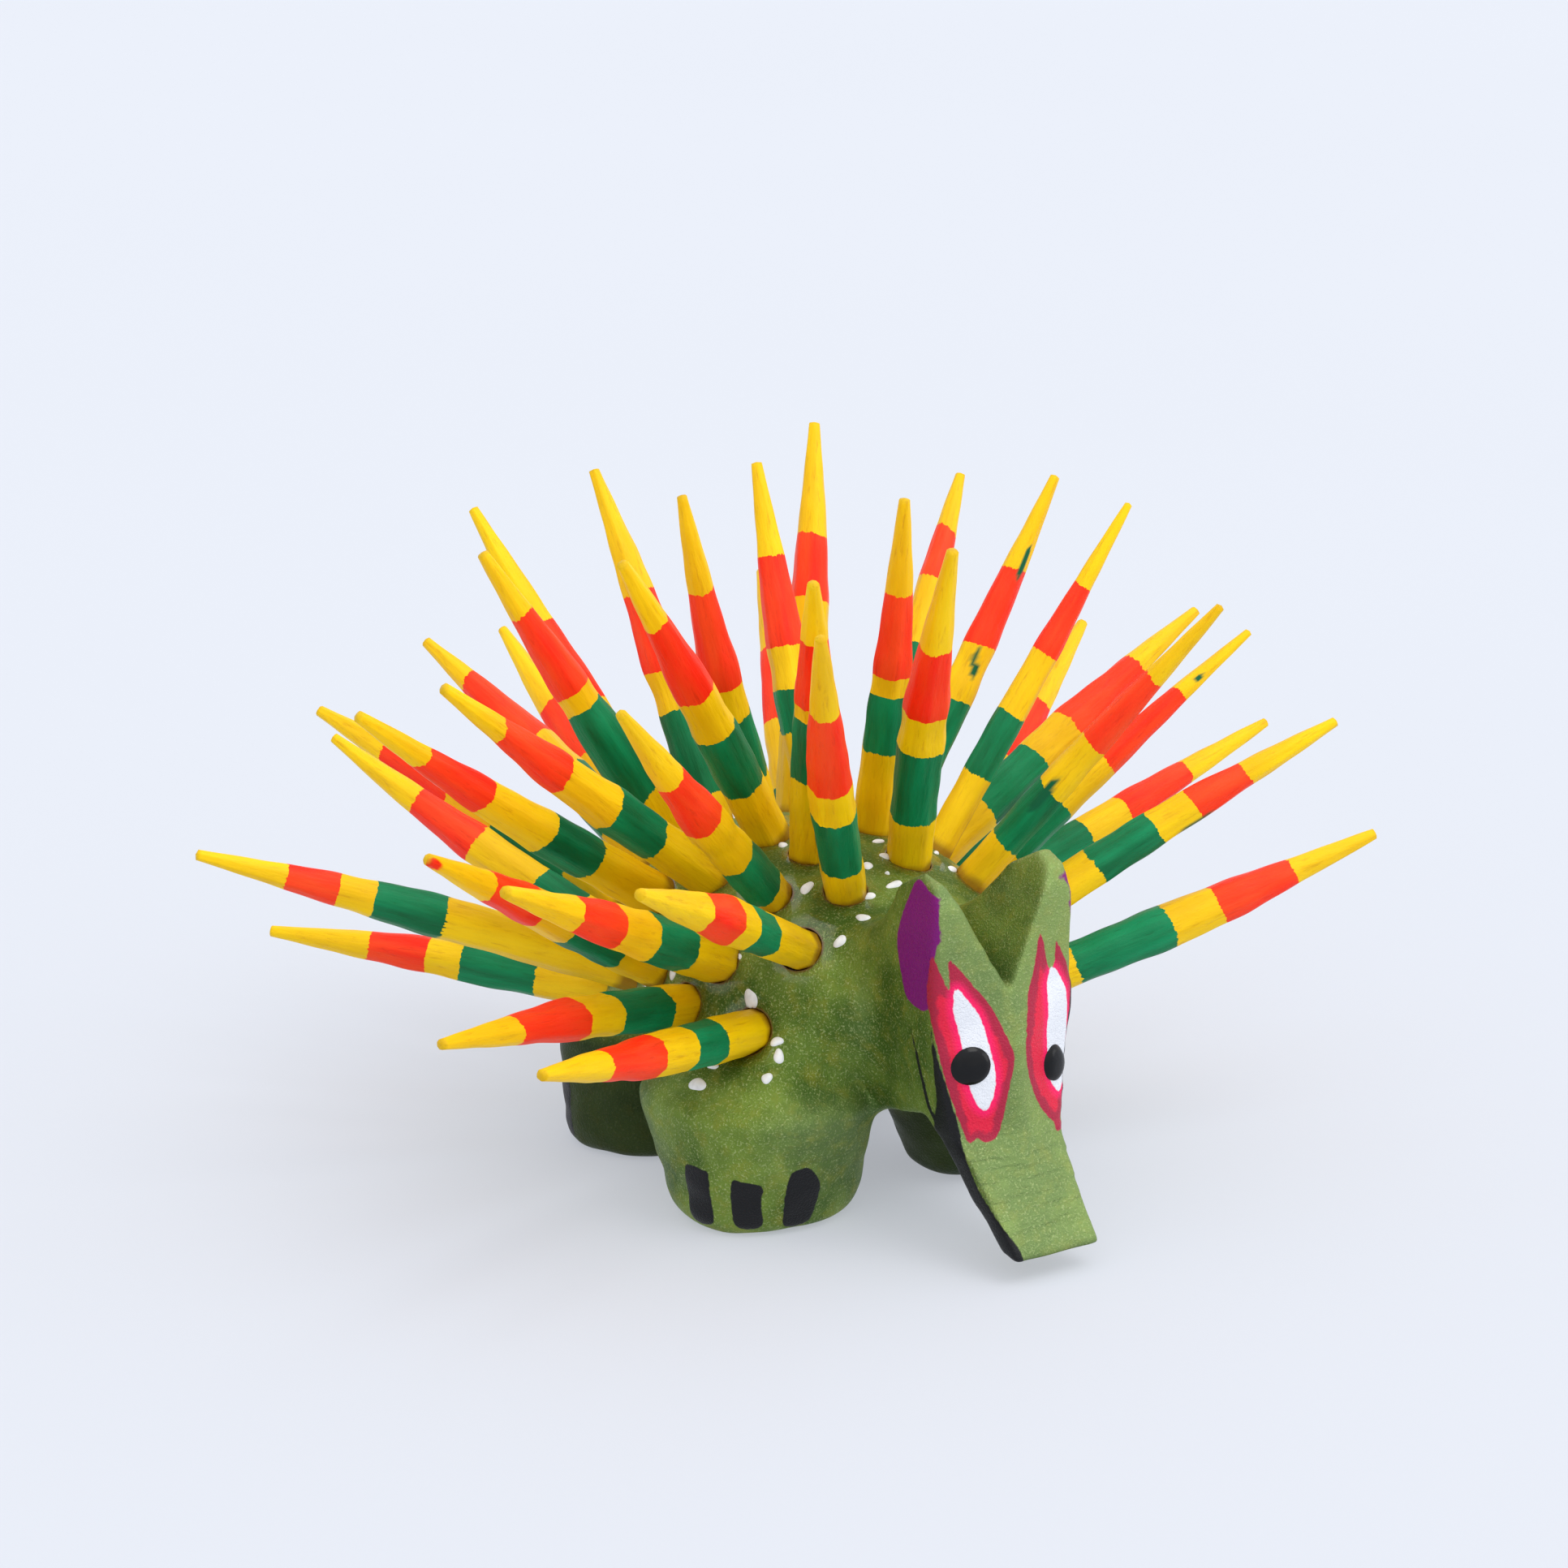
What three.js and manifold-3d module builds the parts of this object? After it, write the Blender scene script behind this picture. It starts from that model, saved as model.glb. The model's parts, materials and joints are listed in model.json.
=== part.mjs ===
// Alebrije figure: a small quilled animal carved from one block of copal wood, with whittled
// quills glued in blind holes in its back and sides.
//
// Units are millimetres and +Z is up. The animal looks along -Y, and its left side is +X.
// The origin is on the floor, at the middle of the whole figure's plan.

import * as THREE from 'three';
import { mergeVertices } from 'three/addons/utils/BufferGeometryUtils.js';
import Module from 'manifold-3d';

const wasm = await Module();
wasm.setup();

// ---------------------------------------------------------------------------------------------
// Driving dimensions
// ---------------------------------------------------------------------------------------------

const TORSO_LENGTH = 27;
const TORSO_WIDTH = 21;
const TORSO_HEIGHT = 14.8;
const BELLY_CLEARANCE = 3.9;

const QUILL_DIAMETER = 2.7;
const TENON_DIAMETER = 1.7;
const TENON_DEPTH = 2;
const GLUE_GAP = 0.3;

// The neck between tenon and quill runs from below the shoulder to above it.
const NECK = { below: 0.6, above: 0.4, radiusShare: 0.88 };

// How a quill thins towards its blunt tip: shares of its length and of its full radius, then the
// radii of the tip itself.
const TAPER = { fullUntil: 0.3, thinnerFrom: 0.5, thinnerShare: 0.95 };
const TIP = { radius: 0.42, endRadius: 0.25, height: 0.2 };

// The quills make the figure's outline, so this brings the middle of their plan to the origin.
const PLAN_SHIFT = { x: 0, y: -5.4 };

// Half sizes and centre of the egg-shaped torso.
const TORSO = {
  half: new THREE.Vector3(TORSO_WIDTH / 2, TORSO_LENGTH / 2, TORSO_HEIGHT / 2),
  centre: new THREE.Vector3(0, 0, BELLY_CLEARANCE + TORSO_HEIGHT / 2),
};

// Legs: how far each sole's centre is in front of (or behind) the torso's middle, how far it is
// to the animal's left, the radius at the floor, and how much wider the thigh is than the sole.
// Above the thigh each leg slopes in, so that it runs up into the torso's side.
const LEGS = [
  { forward: 6.1, left: -7.6, radius: 5.25, flare: 1.27 },
  { forward: 7.1, left: 5.1, radius: 3.3, flare: 1.65 },
  { forward: -6.2, left: -7.4, radius: 4.6, flare: 1.08 },
  { forward: -6.0, left: 7.0, radius: 4.6, flare: 1.08 },
];
const THIGH_HEIGHT = 6.8;
const LEG_HEIGHT = 11.8;
const LEG_TOP_SHARE = 0.46;
const LEG_SIDES = 20;
const QUILL_SIDES = 8;
const SOLE_BEVEL = 0.5;

// Head, in side view: each point is (forward, up, set back), from the neck over the ears and the
// face to the snout. The last number is how much further back the point is at the head's sides.
const HEAD_PROFILE = [
  [8.5, 15.6, 0],
  [12.6, 17.9, 0],
  [14.4, 20.1, 0],
  [16.4, 21.3, 0],
  [17.8, 20.8, 0.1],
  [18.5, 19.6, 0.3],
  [18.9, 14.6, 0.9],
  [19.7, 11.7, 1.7],
  [19.9, 7.0, 1.2],
  [20.9, 5.0, 0.4],
  [23.6, 1.5, 0],
  [23.3, 1.2, 0],
  [22.2, 1.6, 0],
  [19.1, 4.3, 0],
  [17.6, 6.4, 0],
  [16.2, 7.6, 0],
  [13.0, 6.7, 0],
  [8.5, 5.2, 0],
];
const HEAD_HALF_WIDTH = 5;

// Head, in front view: each point is (left, up).
const HEAD_OUTLINE = [
  [-4.1, 22],
  [-4.4, 18],
  [-4.3, 12],
  [-3.9, 8.4],
  [-3.1, 4.4],
  [-2.7, 0.6],
  [2.7, 0.6],
  [2.8, 4.4],
  [3.6, 8.4],
  [4.4, 12],
  [4.5, 18],
  [4.2, 22],
];

// The notch between the ears, in front view.
const EAR_NOTCH = [
  [-4.4, 22.4],
  [0, 14.6],
  [3.9, 22.4],
];

// Quills. Each row is: bearing and rise of its hole on the torso, heading and lift of the quill,
// all in degrees, and the length that stands out of the wood. Bearing and heading are 0 to the
// front, 90 to the animal's left and 180 to the back; rise and lift are 0 level and 90 upright.
const QUILLS = {
  right_flank: [
    [-107, -1, -112, 19, 25],
    [-118, -20, -136, 6, 21.5],
    [-92, 9, -67, 30, 22.5],
    [-69, 21, -62, 25, 23.5],
    [-45, 31, -54, 24, 24],
    [-77, -1, -67, 11, 22],
    [-57, -5, -61, 12, 22.5],
    [-106, 33, -91, 36, 22.5],
    [-90, 50, -82, 38, 23],
  ],
  left_flank: [
    [80, 46, 93, 53, 23],
    [56, 40, 53, 50, 21],
    [72, 28, 80, 38, 21.5],
    [86, 11, 91, 19, 23],
    [52, 20, 73, 28, 22],
    [52, -8, 76, 17, 23],
    [104, -4, 117, 34, 24],
    [103, 22, 93, 31, 24],
    [122, -16, 136, 8, 22],
  ],
  crest: [
    [-59, 50, -58, 40, 23],
    [-25, 56, -39, 51, 23],
    [-44, 74, -33, 55, 22.5],
    [36, 62, -22, 64, 22],
    [73, 72, -12, 78, 20.5],
    [-111, 76, -70, 55, 22],
    [-161, 72, -82, 74, 20.5],
    [-117, 50, -101, 58, 22],
    [136, 60, 171, 64, 21],
    [148, 46, 141, 62, 24],
    [104, 48, 99, 56, 23],
    [120, 34, 125, 51, 24],
  ],
  rump: [
    [-150, 4, -155, 21, 24],
    [-136, -2, -149, 27, 21],
    [-164, 18, -165, 28, 22],
    [-176, -2, 180, 30, 24],
    [-152, 40, -159, 51, 23],
    [180, 40, -178, 56, 23],
    [144, 4, 154, 36, 24],
    [160, -14, 158, 10, 22],
  ],
};

// ---------------------------------------------------------------------------------------------
// Finishes
// ---------------------------------------------------------------------------------------------

const OLIVE_PAINT = new THREE.MeshStandardMaterial({ color: 0x66742b, roughness: 0.5, metalness: 0.35 });
const YELLOW_PAINT = new THREE.MeshStandardMaterial({ color: 0xf0c400, roughness: 0.55, metalness: 0 });

// ---------------------------------------------------------------------------------------------
// Solids
// ---------------------------------------------------------------------------------------------

function toSolid(geometry) {
  const bare = geometry.clone();
  bare.deleteAttribute('normal');
  bare.deleteAttribute('uv');
  const merged = mergeVertices(bare, 1e-4);
  const mesh = new wasm.Mesh({
    numProp: 3,
    vertProperties: new Float32Array(merged.attributes.position.array),
    triVerts: new Uint32Array(merged.index.array),
  });
  return new wasm.Manifold(mesh);
}

function toGeometry(solid) {
  const mesh = solid.getMesh();
  const geometry = new THREE.BufferGeometry();
  geometry.setAttribute('position', new THREE.BufferAttribute(mesh.vertProperties, 3));
  geometry.setIndex(new THREE.BufferAttribute(mesh.triVerts, 1));
  geometry.computeVertexNormals();
  return geometry;
}

// A prism of an outline given as (left, up), from one distance forward to another.
function frontViewPrism(points, fromForward, toForward) {
  const shape = new THREE.Shape(points.map(([left, up]) => new THREE.Vector2(left, up)));
  const prism = new THREE.ExtrudeGeometry(shape, { depth: toForward - fromForward, bevelEnabled: false });
  prism.rotateX(Math.PI / 2);
  prism.translate(0, -fromForward, 0);
  return toSolid(prism);
}

function torso() {
  const egg = new THREE.SphereGeometry(1, 32, 18);
  egg.rotateX(Math.PI / 2);
  egg.scale(TORSO.half.x, TORSO.half.y, TORSO.half.z);
  egg.translate(TORSO.centre.x, TORSO.centre.y, TORSO.centre.z);
  return toSolid(egg);
}

// A short stump, widest at the thigh, with the edge of its sole eased.
function leg({ forward, left, radius, flare }) {
  const profile = [
    new THREE.Vector2(0, 0),
    new THREE.Vector2(radius - SOLE_BEVEL, 0),
    new THREE.Vector2(radius, SOLE_BEVEL),
    new THREE.Vector2(radius * flare, THIGH_HEIGHT),
    new THREE.Vector2(radius * LEG_TOP_SHARE, LEG_HEIGHT),
    new THREE.Vector2(0, LEG_HEIGHT),
  ];
  const stump = new THREE.LatheGeometry(profile, LEG_SIDES);
  stump.rotateX(Math.PI / 2);
  stump.translate(left, -forward, 0);
  return toSolid(stump);
}

// The head's side view across its whole width, with the face swept back from its middle ridge.
function headBlank() {
  const shape = new THREE.Shape(HEAD_PROFILE.map(([forward, up]) => new THREE.Vector2(forward, up)));
  const width = 2 * HEAD_HALF_WIDTH;
  const blank = new THREE.ExtrudeGeometry(shape, { depth: width, steps: 2, bevelEnabled: false });
  const position = blank.attributes.position;
  for (let i = 0; i < position.count; i += 1) {
    const isPoint = ([forward, up]) =>
      Math.abs(forward - position.getX(i)) < 0.01 && Math.abs(up - position.getY(i)) < 0.01;
    const onSide = Math.abs(position.getZ(i) - HEAD_HALF_WIDTH) > 0.01;
    const setBack = HEAD_PROFILE.find(isPoint)[2];
    position.setX(i, position.getX(i) - (onSide ? setBack : 0));
  }
  blank.translate(0, 0, -HEAD_HALF_WIDTH);
  blank.rotateX(Math.PI / 2);
  blank.rotateZ(-Math.PI / 2);
  return toSolid(blank);
}

function head() {
  const block = headBlank().intersect(frontViewPrism(HEAD_OUTLINE, 0, TORSO_LENGTH));
  return block.subtract(frontViewPrism(EAR_NOTCH, 0, TORSO_LENGTH));
}

// A quill along +Z with its shoulder at z = 0: tenon below, whittled taper to a blunt tip above.
// With a margin it is the cutter for its own hole.
function quillSolid(length, margin) {
  const radius = QUILL_DIAMETER / 2;
  const profile = [
    new THREE.Vector2(0, -TENON_DEPTH - margin),
    new THREE.Vector2(TENON_DIAMETER / 2 + margin, -TENON_DEPTH - margin),
    new THREE.Vector2(TENON_DIAMETER / 2 + margin, -NECK.below),
    new THREE.Vector2(radius * NECK.radiusShare + margin, NECK.above),
    new THREE.Vector2(radius + margin, length * TAPER.fullUntil),
    new THREE.Vector2(radius * TAPER.thinnerShare + margin, length * TAPER.thinnerFrom),
    new THREE.Vector2(TIP.radius + margin, length - TIP.height),
    new THREE.Vector2(TIP.endRadius + margin, length + margin),
    new THREE.Vector2(0, length + margin),
  ];
  return new THREE.LatheGeometry(profile, QUILL_SIDES).rotateX(Math.PI / 2);
}

function direction(bearing, rise) {
  const around = THREE.MathUtils.degToRad(bearing);
  const up = THREE.MathUtils.degToRad(rise);
  return new THREE.Vector3(
    Math.cos(up) * Math.sin(around),
    -Math.cos(up) * Math.cos(around),
    Math.sin(up),
  );
}

// Where a quill stands: its shoulder on the torso's surface, its axis along heading and lift.
function quillPlace([bearing, rise, heading, lift]) {
  const shoulder = direction(bearing, rise).multiply(TORSO.half).add(TORSO.centre);
  const turn = new THREE.Quaternion().setFromUnitVectors(
    new THREE.Vector3(0, 0, 1),
    direction(heading, lift),
  );
  return new THREE.Matrix4().compose(shoulder, turn, new THREE.Vector3(1, 1, 1));
}

// Where two holes graze the same edge a crumb of wood can come loose: only the block is kept.
function largestPiece(solid) {
  const pieces = solid.decompose();
  return pieces.reduce((best, piece) => (piece.volume() > best.volume() ? piece : best));
}

function carvedBody() {
  let body = torso().add(head());
  for (const place of LEGS) {
    body = body.add(leg(place));
  }
  for (const row of Object.values(QUILLS).flat()) {
    const cutter = quillSolid(row[4], GLUE_GAP).applyMatrix4(quillPlace(row));
    body = body.subtract(toSolid(cutter));
  }
  const mesh = new THREE.Mesh(toGeometry(largestPiece(body)), OLIVE_PAINT);
  mesh.name = 'carved_body';
  return mesh;
}

function quill(zone, number, row) {
  const mesh = new THREE.Mesh(quillSolid(row[4], 0), YELLOW_PAINT);
  mesh.applyMatrix4(quillPlace(row));
  mesh.name = `${zone}_quill_${number}`;
  return mesh;
}

// ---------------------------------------------------------------------------------------------
// The figure
// ---------------------------------------------------------------------------------------------

const figure = new THREE.Group();
figure.position.set(PLAN_SHIFT.x, PLAN_SHIFT.y, 0);
figure.add(carvedBody());
for (const [zone, rows] of Object.entries(QUILLS)) {
  rows.forEach((row, index) => figure.add(quill(zone, index + 1, row)));
}

export default figure;
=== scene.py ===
"""Painted alebrije figure: a small quilled animal carved from one block of copal wood.

The carved block, the whittled quills and the hand-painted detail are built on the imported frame.
Shapes are worked out in millimetres and scaled to metres when each piece is made. The animal
looks along -Y and its left side is +X.
"""

import json
import math
import random

import bmesh
import bpy
import numpy as np
from mathutils import Matrix, Vector, noise
from mathutils.bvhtree import BVHTree


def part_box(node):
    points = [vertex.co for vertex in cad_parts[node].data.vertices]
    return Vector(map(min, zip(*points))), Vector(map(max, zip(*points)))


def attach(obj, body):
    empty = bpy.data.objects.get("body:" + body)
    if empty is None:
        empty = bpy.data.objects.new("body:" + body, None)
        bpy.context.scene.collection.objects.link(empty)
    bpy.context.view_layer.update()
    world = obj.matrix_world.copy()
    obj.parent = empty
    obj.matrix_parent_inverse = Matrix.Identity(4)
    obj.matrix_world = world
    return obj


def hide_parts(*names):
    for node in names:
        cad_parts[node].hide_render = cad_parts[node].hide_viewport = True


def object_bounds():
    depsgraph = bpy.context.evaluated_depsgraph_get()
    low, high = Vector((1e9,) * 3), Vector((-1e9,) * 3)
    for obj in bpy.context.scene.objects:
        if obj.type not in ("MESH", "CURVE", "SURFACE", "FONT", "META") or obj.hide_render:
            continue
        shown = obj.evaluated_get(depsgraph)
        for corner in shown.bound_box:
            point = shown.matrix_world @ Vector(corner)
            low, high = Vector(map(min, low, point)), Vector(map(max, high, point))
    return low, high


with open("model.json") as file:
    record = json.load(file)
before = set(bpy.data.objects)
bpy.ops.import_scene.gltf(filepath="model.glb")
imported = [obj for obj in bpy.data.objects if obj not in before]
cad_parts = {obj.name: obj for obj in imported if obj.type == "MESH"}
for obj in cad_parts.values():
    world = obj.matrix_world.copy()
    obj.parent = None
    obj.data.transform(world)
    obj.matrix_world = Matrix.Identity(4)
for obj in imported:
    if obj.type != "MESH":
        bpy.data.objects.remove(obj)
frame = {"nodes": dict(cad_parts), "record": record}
cad_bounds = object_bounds()

MM = 0.001
UP = Vector((0, 0, 1))

# ---- Driving sizes, in millimetres ----

TENON_DEPTH = 2.0  # how far each quill's tenon goes below the wood's surface
# Sticks whittled thinner than the rest, as shares of the full radius.
THIN_STICKS = {
    "left_flank_quill_1": 0.66,
    "left_flank_quill_2": 0.72,
    "left_flank_quill_3": 0.66,
    "left_flank_quill_4": 0.8,
    "left_flank_quill_5": 0.84,
    "crest_quill_11": 0.76,
}
WAIST_SHARE = 0.97  # a quill's radius at its root, as a share of the full radius
HOLE_CLEARANCE = 0.03  # between a quill and the side of its drilled hole
THIGH_TOP = 7.0  # height where a leg starts to run into the side
CARVING_VOXEL = 0.2  # finest step of the carved surface
HEAD_DEPTH = 11  # how far the head goes back from the snout's tip
DRILL_LENGTH = 5.2
DRILL_OUT = 1.2  # how far the drill's middle is above the wood's surface
HOLE_REACH = 2.5  # how far from a quill's root the wall of its hole can be
PAINT_FILM = 0.04  # thickness of one brushed coat

# Where the red and green bands of each quill start and stop, measured back from its tip.
QUILL_BANDS = {
    "right_flank": [
        (5, 8, 10, 14), (6, 9.5, 11.5, 16), (5.5, 10, 13, 18), (6.5, 10.5, 14, 18.5),
        (8.5, 12.5, 15, 18), (6, 11.5, 14.5, 19), (6, 11, 14.5, 17.5), (4.5, 9, 13.5, 17),
        (4.5, 9.5, 13.5, 17.5),
    ],
    "left_flank": [
        (5.5, 10, 14, 18), (5.5, 10.5, 14, 18), (5.5, 11.5, 15, 19), (6.5, 11.5, 14.5, 19),
        (6, 9.5, 12, 16), (5.5, 10.5, 13.5, 19.5), (7, 12, 17, 21.5), (5.5, 11.5, 14.5, 19),
        (5.5, 10.5, 13.5, 17.5),
    ],
    "crest": [
        (7, 12, 17, 21.5), (6, 12.5, 15, 20), (4.5, 9.5, 10.5, 15.5), (6.5, 11, 13.5, 18.5),
        (5.5, 10.5, 11.5, 15), (4.5, 10, 13, 17.5), (5.5, 11.5, 13.5, 17.5), (4, 9.5, 10.5, 17),
        (5.5, 11, 13.5, 16), (7, 11, 14.5, 19), (6, 11, 14.5, 18.5), (4, 7.5, 12, 16.5),
    ],
    "rump": [
        (5.5, 11, 14.5, 20), (6.5, 11, 15.5, 18.5), (4, 10.5, 13.5, 18), (7, 12, 18, 23),
        (8, 13.5, 16, 20.5), (8, 13, 15.5, 21), (6.5, 12.5, 17.5, 22.5),
        (5.5, 10.5, 13.5, 17.5),
    ],
}

# Painted shapes. Each is drawn on a stencil held upright and seen from one bearing (0 is the
# front, 90 the animal's left). Points are (across, up), with across measured from the snout's
# tip; the paint reaches only surfaces that face the stencil and lie nearer than the depth.
RIGHT_EYE_BEARING = -33
LEFT_EYE_BEARING = 33
EYE_DEPTH = -6.5

RIGHT_EYE_SURROUND = [
    (-6.8, 17.1), (-6.35, 16.0), (-5.9, 15.2), (-6.0, 16.8), (-5.6, 16.5), (-4.6, 15.2),
    (-3.7, 14.0), (-2.7, 12.1), (-2.4, 11.2), (-2.65, 9.7), (-3.2, 7.2), (-3.8, 6.8),
    (-4.4, 7.05), (-4.9, 7.0), (-5.9, 9.7), (-6.6, 12.4), (-7.0, 14.3), (-7.0, 15.7),
]
RIGHT_EYE_WHITE = [
    (-5.6, 15.25), (-4.95, 14.5), (-4.2, 13.3), (-3.5, 10.9), (-3.45, 9.6), (-3.7, 8.8),
    (-4.0, 8.5), (-4.45, 9.0), (-4.85, 10.0), (-5.15, 11.6), (-5.35, 12.6), (-5.7, 14.0),
]
RIGHT_PUPIL = {"across": -4.74, "up": 11.0, "half_width": 1.08, "half_height": 1.06}

LEFT_EYE_SURROUND = [
    (4.5, 17.4), (4.0, 15.3), (3.35, 13.8), (2.6, 11.9), (2.7, 10.5), (3.2, 8.9), (3.95, 7.5),
    (4.5, 6.9), (5.1, 7.1), (5.7, 8.9), (6.3, 11.3), (6.75, 13.0), (6.6, 14.7), (6.15, 15.7),
    (5.6, 16.7), (5.55, 15.6), (5.2, 15.2), (4.85, 16.2),
]
LEFT_EYE_WHITE = [
    (5.3, 15.3), (4.85, 14.2), (4.5, 12.6), (4.45, 11.3), (4.55, 9.6), (5.1, 8.4), (5.7, 9.2),
    (6.15, 10.8), (6.25, 12.2), (6.1, 13.9), (5.8, 14.8),
]
LEFT_PUPIL = {"across": 5.0, "up": 10.05, "half_width": 0.88, "half_height": 1.02}

# A splash of rose that fell on the snout, on the right eye's stencil.
SPLASH = [(-0.2, 7.2), (0.15, 7.1), (0.3, 6.5), (-0.02, 6.5)]

EAR_PATCH_DEPTH = 2.5
EAR_PATCH = [
    (7.4, 20.85), (6.3, 20.5), (5.6, 20.1), (5.4, 18.4), (5.65, 17.1), (6.0, 14.4), (6.4, 13.9),
    (7.1, 13.8), (8.3, 14.25), (9.0, 16.3), (9.05, 17.2), (8.7, 18.4), (8.0, 20.0),
]

# The black mouth lines, from beside each eye to the snout. The left one starts higher.
RIGHT_MOUTH_LINE = [
    (-6.85, 13.0), (-6.45, 11.3), (-6.05, 10.1), (-5.45, 8.1), (-5.05, 6.4), (-4.3, 4.65),
    (-3.15, 3.1), (-2.3, 2.1), (-2.0, 1.2), (-3.1, 0.9), (-4.4, 2.4), (-5.6, 4.2), (-6.4, 6.2),
    (-6.6, 7.6), (-6.5, 8.8), (-6.65, 10.4),
]
LEFT_MOUTH_LINE = [
    (6.75, 15.6), (6.5, 13.5), (6.3, 11.5), (5.85, 10.0), (5.4, 8.1), (5.1, 6.4), (4.6, 4.65),
    (4.1, 3.4), (4.6, 3.2), (5.4, 4.2), (6.0, 6.2), (6.35, 8.8), (6.7, 12.0),
]
# A second, finer stroke of the brush behind each: (across, up, half width), seen from the side.
CHEEK_STROKE = [(-7.7, 12.5, 0.04), (-7.25, 11.0, 0.12), (-6.6, 8.3, 0.16), (-5.7, 7.0, 0.2)]
CHEEK_STROKE_DEPTH = 2.0

# Toenails: the bearings of the three nails on a front and on a hind foot of the right side, and
# each nail's outline (across, up), measured from the middle of its foot.
FRONT_NAIL_BEARINGS = (-70, -42, -10)
HIND_NAIL_BEARINGS = (-104, -129, -155)
NAIL_OUTLINES = [
    [(-0.8, 0.7), (-0.85, 3.6), (-0.5, 4.1), (0.4, 4.0), (0.8, 3.8), (0.75, 2.2), (0.6, 0.7)],
    [(-0.75, 0.8), (-0.85, 3.5), (-0.2, 3.6), (0.8, 3.3), (0.7, 2.3), (0.65, 0.7)],
    [(-0.95, 0.7), (-0.95, 3.6), (-0.5, 4.1), (0.3, 4.05), (1.0, 3.0), (0.9, 1.7), (0.5, 0.6)],
]
NAIL_DEPTH = 2.5

# Raised dots of white paint: (bearing, rise) on the torso, width, height and turn in degrees.
WHITE_DOTS = [
    (-81, 76, 0.8, 0.5, 10), (-44, 56, 0.65, 1.1, -8), (-1, 66, 0.6, 0.7, 20),
    (6, 61, 0.3, 0.25, 0), (38, 72, 0.75, 0.45, -20), (21, 67, 0.8, 0.55, -25),
    (3, 56, 1.1, 0.6, 15), (-15, 53, 0.85, 0.6, 5), (-22, 44, 0.9, 0.65, 20),
    (-32, 35, 0.7, 0.8, -15), (-61, 41, 0.7, 0.4, 10), (-63, 22, 0.7, 0.4, 0),
    (-84, 9, 0.5, 0.85, -10), (-96, -3, 0.5, 0.8, 10), (-58, 8, 0.75, 1.35, 5),
    (-50, -6, 0.75, 0.6, 10), (-49, -10, 0.6, 0.9, 15), (-63, -13, 0.65, 0.4, 15),
    (-65, -17, 1.1, 0.85, 10), (-51, -15, 0.6, 0.7, 0), (63, 53, 0.9, 0.3, -25),
    (53, 48, 1.05, 0.45, -30), (63, 36, 0.9, 0.45, -30), (-114, 30, 0.5, 0.4, 0),
]

# ---- Working out where things are ----


def heading(bearing, rise=0.0):
    """Unit vector of a bearing and a rise in degrees."""
    b, r = math.radians(bearing), math.radians(rise)
    return Vector((math.sin(b) * math.cos(r), -math.cos(b) * math.cos(r), math.sin(r)))


def to_the_right(bearing):
    """Unit vector to the right of someone who looks at the figure from a bearing."""
    return Vector((math.cos(math.radians(bearing)), math.sin(math.radians(bearing)), 0))


def turn_to(axis):
    """Rotation that takes the upright to an axis."""
    return UP.rotation_difference(axis).to_matrix().to_4x4()


def point_values(mesh, name):
    """The places or the normals of a mesh's points, as rows of an array."""
    values = np.empty(len(mesh.vertices) * 3)
    mesh.vertices.foreach_get(name, values)
    return values.reshape(-1, 3)


def mesh_points(mesh):
    """A mesh's points in millimetres."""
    return point_values(mesh, "co") / MM


def quill_axis(node):
    """Where a quill leaves the wood, its direction, its free length and its radius."""
    points = mesh_points(frame["nodes"][node].data)
    middle = points.mean(axis=0)
    axis = np.linalg.eigh(np.cov((points - middle).T))[1][:, -1]
    along = (points - middle) @ axis
    away = np.linalg.norm(points - middle - np.outer(along, axis), axis=1)
    if away[along > along.max() - 0.3].max() > away[along < along.min() + 0.3].max():
        axis, along = -axis, -along
    root = middle + axis * (along.min() + TENON_DEPTH)
    return {
        "root": Vector(root),
        "axis": Vector(axis),
        "length": float(along.max() - along.min() - TENON_DEPTH),
        "radius": float(away.max()),
    }


def torso_egg(quills):
    """Centre and half sizes of the egg-shaped torso: every quill's root lies on it."""
    roots = np.array([q["root"] for q in quills.values()])
    terms = np.hstack([roots**2, roots])
    squares, lines = np.split(np.linalg.lstsq(terms, np.ones(len(roots)), rcond=None)[0], 2)
    centre = -lines / (2 * squares)
    size = 1 + (squares * centre**2).sum()
    return Vector(centre), Vector(np.sqrt(size / squares))


def whittled_share(name):
    """Share of the full radius that the whittling leaves: each stick has its own."""
    return THIN_STICKS.get(name, random.Random(name).uniform(0.88, 0.97))


def hole_radius(quill):
    """Radius of the drilled hole that a quill stands in."""
    return quill["radius"] * WAIST_SHARE + HOLE_CLEARANCE


QUILLS = {name: quill_axis(name) for name in frame["nodes"] if "_quill_" in name}
for quill_name, whittled in QUILLS.items():
    whittled["radius"] *= whittled_share(quill_name)
TORSO_CENTRE, TORSO_HALF = torso_egg(QUILLS)
BODY_LOW, BODY_HIGH = (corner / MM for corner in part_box("carved_body"))
SNOUT_TIP = Vector((0, BODY_LOW.y, 0))
SOLES = {m["name"]: Vector(m["pos_m"]) / MM for m in frame["record"]["mounts"]}


def on_torso(bearing, rise):
    """Vector from the torso's centre to a place on its surface."""
    return heading(bearing, rise) * TORSO_HALF


# ---- Making pieces ----


def new_mesh(name, points, faces):
    """Mesh from points in millimetres, shaded smooth."""
    mesh = bpy.data.meshes.new(name)
    mesh.from_pydata([tuple(Vector(p) * MM) for p in points], [], faces)
    mesh.polygons.foreach_set("use_smooth", [True] * len(mesh.polygons))
    mesh.update()
    return mesh


def new_object(name, data):
    """Object in the scene that holds a mesh, a lamp or a camera."""
    made = bpy.data.objects.new(name, data)
    bpy.context.scene.collection.objects.link(made)
    return made


def new_piece(name, mesh, material):
    """Object that shows a mesh and rides on the figure."""
    piece = new_object(name, mesh)
    piece.data.materials.clear()
    piece.data.materials.append(material)
    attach(piece, "root")
    return piece


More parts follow.
